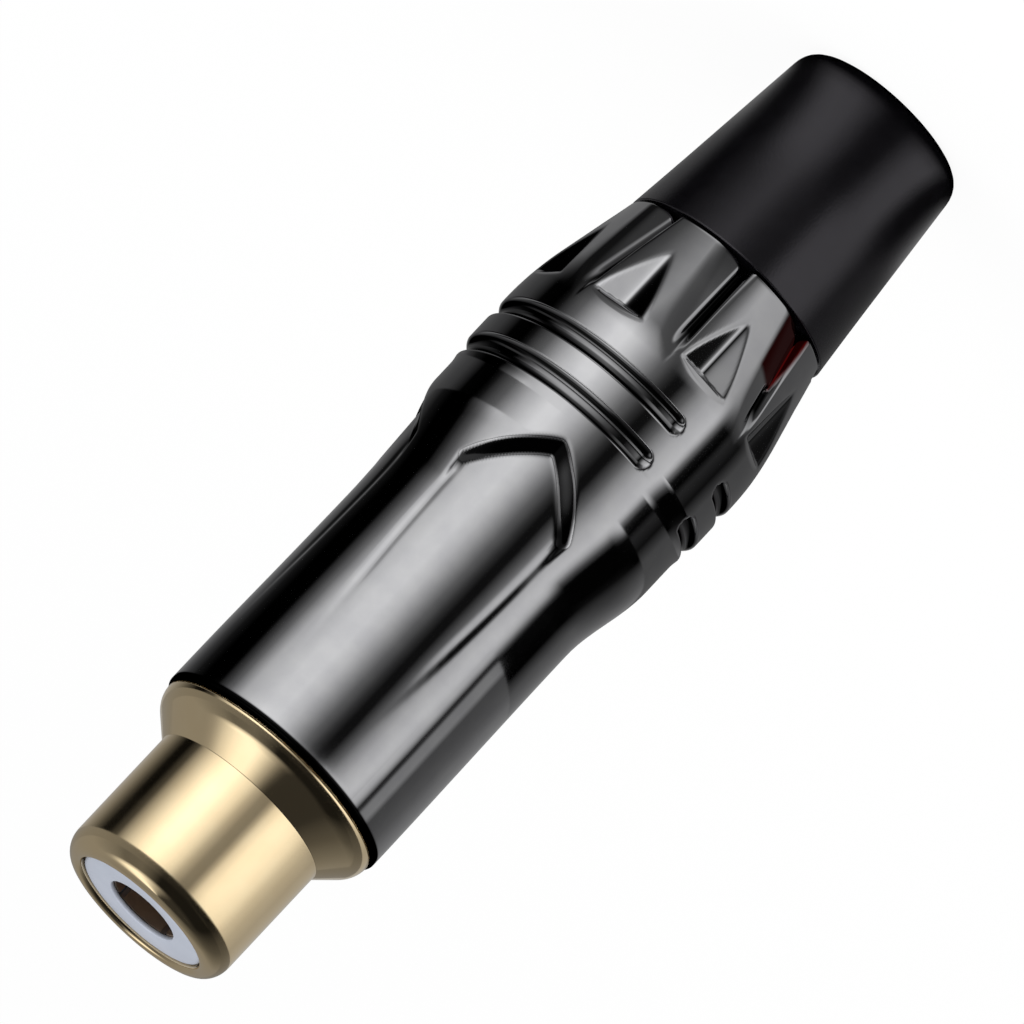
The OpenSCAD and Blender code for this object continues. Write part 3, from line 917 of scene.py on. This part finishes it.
HIGH_ALL = (
    (-180, 0.25), (-113, 0.25), (-90, 0.2), (-75, 0.17), (-62, 0.12), (-36, 0.13), (-22, 0.08),
    (-8, 0.01), (75, 0.01), (113, 0.08), (131, 0.15), (150, 0.24), (180, 0.25),
)
TOP_ALL = (
    (-180, 0.2), (-115, 0.25), (-101, 0.38), (-90, 0.66), (-77, 1.0), (-65, 1.2), (-45, 1.2),
    (-34, 0.95), (-16, 0.5), (0, 0.2), (10, 0.08), (21, 0.03), (90, 0.03), (120, 0.1), (180, 0.2),
)
BOOT_ALL = (
    (-180, 0.2), (-125, 0.3), (-110, 0.12), (-95, 0.01), (-75, 0.02), (-65, 0.16), (-50, 0.52),
    (-40, 0.6), (-25, 0.56), (-12, 0.28), (-3, 0.08), (5, 0.03), (18, 0.05), (28, 0.28), (40, 0.54),
    (55, 0.56), (63, 0.26), (72, 0.02), (92, 0.01), (105, 0.12), (125, 0.3), (180, 0.3),
)
# Each zone takes over at a height above the horizon seen from the socket, blended over a width, in degrees
BOWL_ZONES = (
    (-90, 1, ((-180, 0.0), (180, 0.0))),
    (-77, 4, BOOT_ALL),
    (-58, 7, TAPER_ALL),
    (-33, 10, GRIP_LEFT + SHELL_FRONT + GRIP_RIGHT),
    (-14.2, 0.8, SHELL_LEFT + SHELL_FRONT + SHELL_RIGHT),
    (-8.5, 8, FLARE_LEFT + SHELL_FRONT + FLARE_RIGHT),
    (9, 6, HIGH_ALL),
    (50, 12, TOP_ALL),
)
GOLD_FRONT = (
    (-180, 0.45), (-150, 0.32), (-132, 0.2), (-115, 0.06), (-105, 0.005), (-95, 0.003), (-83, 0.06),
    (-70, 0.45), (-58, 0.86), (-47, 1.2), (-37, 1.42), (-27, 1.36), (-18, 1.12), (-8, 0.86), (1, 0.46),
    (10, 0.24), (19, 0.21), (24, 0.4), (30, 0.8), (40, 1.08), (50, 1.12),
)
FLANGE_RIGHT = ((60, 0.71), (69, 0.4), (79, 0.15), (89, 0.03), (100, 0.01), (180, 0.1))
BARREL_RIGHT = ((61, 1.05), (73, 0.9), (86, 0.6), (100, 0.44), (120, 0.35), (180, 0.45))
LIP_ALL = (
    (-180, 0.25), (-75, 0.18), (-36, 0.14), (-22, 0.1), (-8, 0.02), (60, 0.01), (75, 0.02), (90, 0.06),
    (113, 0.1), (131, 0.15), (180, 0.25),
)
SIDE_ALL = (
    (55, 0.79), (61, 0.62), (64, 0.3), (66, 0.03), (68.5, 0.03), (71, 0.28), (79, 0.3), (84, 0.09),
    (92, 0.1), (105, 0.13), (120, 0.2), (163, 0.3),
)
# Each zone of a card takes over at a height in millimetres, blended over a width
COLLAR_ZONES = (
    (0, 1, GOLD_FRONT + FLANGE_RIGHT),
    (30.2, 0.2, GOLD_FRONT + BARREL_RIGHT),
    (37.0, 0.3, LIP_ALL),
)
SIDE_ZONES = ((0, 1, SIDE_ALL),)
# The bowl's profile as radii and heights, and the two cards, in millimetres and degrees
BOWL = (
    (3.4, 0.01), (4.4, 0.1), (12.0, 0.4), (60.0, 0.4), (150.0, 2.0), (190.0, 30.0), (200.0, 150.0),
    (150.0, 260.0), (0.5, 300.0),
)
EYE_HEIGHT = 23.0
COLLAR_CARD_R = 36.0
COLLAR_LOW = shell_high - (COLLAR_CARD_R - FLANGE_R) * steepness(CAMERA_TILT)
COLLAR_HIGH = 48.0
SIDE_R = 16.0
SIDE_LOW = 25.7
SIDE_HIGH = 35.2
SIDE_TURNS = (57.0, 162.0)


def glow_zones(name, zones, by_height=False):
    """Glow in zones, by the angle round the axis and by the height above the horizon or the floor."""
    n = Nodes(name)
    coords = n.new("ShaderNodeTexCoord")
    split = n.new("ShaderNodeSeparateXYZ")
    n.link(coords.outputs["Object"], split.inputs[0])
    minus_x = n.math("MULTIPLY", split.outputs["X"], -1.0)
    minus_y = n.math("MULTIPLY", split.outputs["Y"], -1.0)
    turn = n.math("ADD", n.math("DIVIDE", n.math("ARCTAN2", minus_x, minus_y), math.tau), 0.5)
    if by_height:
        height = n.math("DIVIDE", split.outputs["Z"], MM)
    else:
        squares = [n.math("POWER", split.outputs[axis], 2.0) for axis in ("X", "Y")]
        out = n.math("SQRT", n.math("ADD", *squares))
        up = n.math("SUBTRACT", split.outputs["Z"], EYE_HEIGHT * MM)
        height = n.math("DEGREES", n.math("ARCTAN2", up, out))
    colour = None
    for start, width, levels in zones:
        bands = [((angle + 180) / 360, (level,) * 3) for angle, level in levels]
        zone = n.ramp(turn, *bands)
        if colour is None:
            colour = zone
            continue
        blend = n.new("ShaderNodeMapRange")
        blend.inputs["From Min"].default_value = start - width / 2
        blend.inputs["From Max"].default_value = start + width / 2
        n.link(height, blend.inputs["Value"])
        mix = n.new("ShaderNodeMix", data_type="RGBA")
        n.link(blend.outputs["Result"], mix.inputs["Factor"])
        n.link(colour, mix.inputs["A"])
        n.link(zone, mix.inputs["B"])
        colour = mix.outputs["Result"]
    glow = n.new("ShaderNodeEmission")
    n.link(colour, glow.inputs["Color"])
    n.link(glow.outputs[0], n.tree.nodes["Material Output"].inputs["Surface"])
    n.material.cycles.emission_sampling = "NONE"
    return n.material


def reflector(name, profile, angle, material):
    """A reflector of turned shape, or a stretch of one, that only mirroring surfaces see."""
    columns = len(angle)
    points = np.array([ring_points(np.full(columns, r), angle, np.full(columns, z)) for r, z in profile])
    faces = []
    for r in range(len(profile) - 1):
        for c in range(columns - 1):
            low, high = r * columns + c, (r + 1) * columns + c
            faces.append((low, low + 1, high + 1, high))
    mesh = bpy.data.meshes.new(name)
    mesh.from_pydata(points.reshape(-1, 3).tolist(), [], faces)
    mesh.materials.append(material)
    card = bpy.data.objects.new(name, mesh)
    bpy.context.scene.collection.objects.link(card)
    card.rotation_euler.z = -math.radians(CAMERA_TURN)
    card.visible_camera = False
    card.visible_diffuse = False
    card.visible_shadow = False
    card.visible_transmission = False


def make_reflectors():
    """A bowl of cards round the socket, a collar round the barrel and a narrow card beside the shell."""
    round_about = np.linspace(-180.0, 180.0, 97)
    reflector("bowl", BOWL, round_about, glow_zones("bowl_glow", BOWL_ZONES))
    collar = ((COLLAR_CARD_R, COLLAR_LOW), (COLLAR_CARD_R, COLLAR_HIGH))
    reflector("collar", collar, round_about, glow_zones("collar_glow", COLLAR_ZONES, by_height=True))
    side = ((SIDE_R, SIDE_LOW), (SIDE_R, SIDE_HIGH))
    beside = np.linspace(*SIDE_TURNS, 60)
    reflector("side_card", side, beside, glow_zones("side_glow", SIDE_ZONES, by_height=True))


LAMP_SIZE = 0.5
SKY_LEVEL = 0.6
SKY_SEEN = 1.0


def make_lights():
    """Two large soft lamps and an even sky, which the camera sees as plain white."""
    lamps = {"key": ((-0.25, -0.35, 0.45), 2.6), "fill": ((0.4, -0.2, 0.3), 1.3)}
    for name, (place, power) in lamps.items():
        lamp = bpy.data.lights.new(name, "AREA")
        lamp.energy = power
        lamp.size = LAMP_SIZE
        holder = bpy.data.objects.new(name, lamp)
        bpy.context.scene.collection.objects.link(holder)
        holder.location = place
        holder.rotation_euler = (-Vector(place)).to_track_quat("-Z", "Y").to_euler()
        holder.visible_glossy = False
    world = bpy.data.worlds.new("studio")
    bpy.context.scene.world = world
    world.use_nodes = True
    tree = world.node_tree
    background = tree.nodes["Background"]
    rays = tree.nodes.new("ShaderNodeLightPath")
    level = tree.nodes.new("ShaderNodeMapRange")
    level.inputs["To Min"].default_value = SKY_LEVEL
    level.inputs["To Max"].default_value = SKY_SEEN
    background.inputs["Color"].default_value = (1.0, 1.0, 1.0, 1.0)
    tree.links.new(rays.outputs["Is Camera Ray"], level.inputs["Value"])
    tree.links.new(level.outputs["Result"], background.inputs["Strength"])


def make_camera():
    """The photograph's viewpoint: nearly side on, with the mouth towards the lower left."""
    turn, tilt = math.radians(CAMERA_TURN), math.radians(CAMERA_TILT)
    level = math.cos(tilt)
    back = Vector((-math.sin(turn) * level, -math.cos(turn) * level, math.sin(tilt)))
    roll = Matrix.Rotation(math.radians(CAMERA_ROLL), 3, "Z")
    facing = (-back).to_track_quat("-Z", "Y").to_matrix() @ roll
    right, up = facing.col[0], facing.col[1]
    centre = IMAGE_SIZE / 2
    pixel = MM / PIXELS_PER_MM
    middle = Vector((0, 0, jack_high * MM / 2))
    target = middle + right * (centre - AXIS_MIDDLE[0]) * pixel - up * (centre - AXIS_MIDDLE[1]) * pixel
    data = bpy.data.cameras.new("camera")
    data.sensor_width = SENSOR_WIDTH
    data.lens = data.sensor_width * CAMERA_DISTANCE / (IMAGE_SIZE * pixel)
    data.clip_start, data.clip_end = 0.1, 10.0
    camera = bpy.data.objects.new("camera", data)
    bpy.context.scene.collection.objects.link(camera)
    camera.location = target + back * CAMERA_DISTANCE
    camera.rotation_euler = facing.to_euler()
    bpy.context.scene.camera = camera


make_floor()
make_reflectors()
make_lights()
make_camera()
bpy.context.scene.view_settings.view_transform = "Standard"
